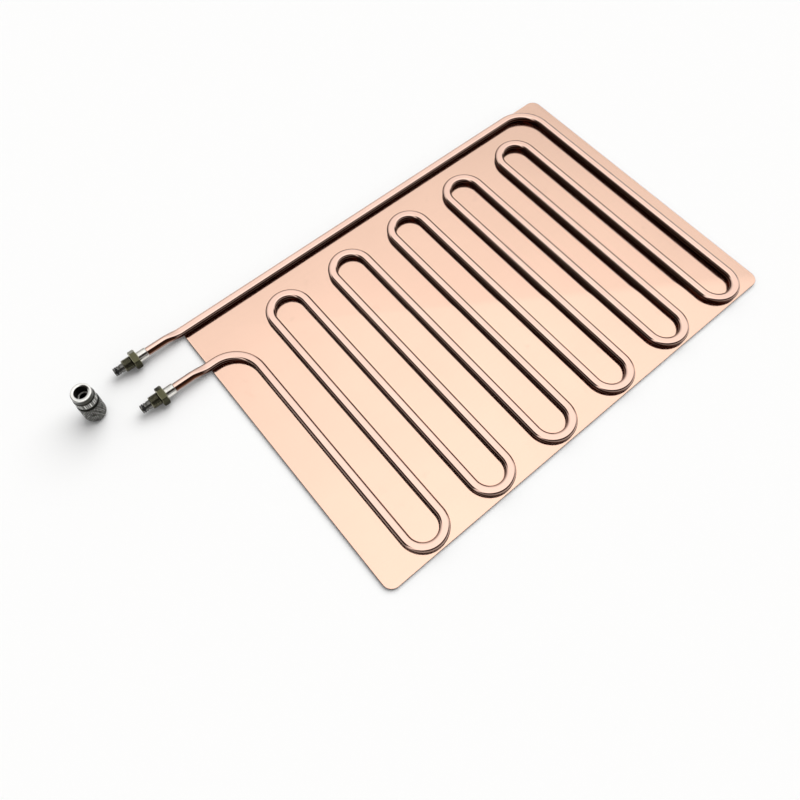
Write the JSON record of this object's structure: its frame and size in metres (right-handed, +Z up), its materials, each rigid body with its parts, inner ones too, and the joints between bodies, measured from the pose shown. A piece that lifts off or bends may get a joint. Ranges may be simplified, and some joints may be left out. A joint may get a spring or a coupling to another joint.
{
  "type": "liquid cooling plate",
  "caption": "Flat copper plate with a flattened copper coolant tube soldered on it in a serpentine, threaded nozzles at both tube ends and a loose knurled coupling.",
  "frame": {"origin": "middle of the plate's underside", "axes": "+X along the plate, away from the ports, so the nozzles point along -X; +Y across the plate, towards the edge that the outlet runs along; +Z up, from the plate to the tube"},
  "size_m": [0.559, 0.3041, 0.042],
  "materials": {
    "plate_copper": "satin rolled copper",
    "tube_copper": "bright drawn copper",
    "bright_nickel": "bright nickel plate",
    "olive_nickel": "darkened nickel plate on brass",
    "dark_nickel": "dark nickel plate, knurled",
    "black_rubber": "smooth",
    "pale_seal": "matt"
  },
  "bodies": {
    "root": {"base_plate": "plate_copper", "coolant_tube": "tube_copper", "inlet_nozzle": "bright_nickel", "outlet_nozzle": "bright_nickel", "inlet_collar": "olive_nickel", "outlet_collar": "olive_nickel", "inlet_seal_ring": "black_rubber", "outlet_seal_ring": "black_rubber", "coupling_sleeve": "dark_nickel", "coupling_flat_seal": "pale_seal"}
  },
  "joints": []
}
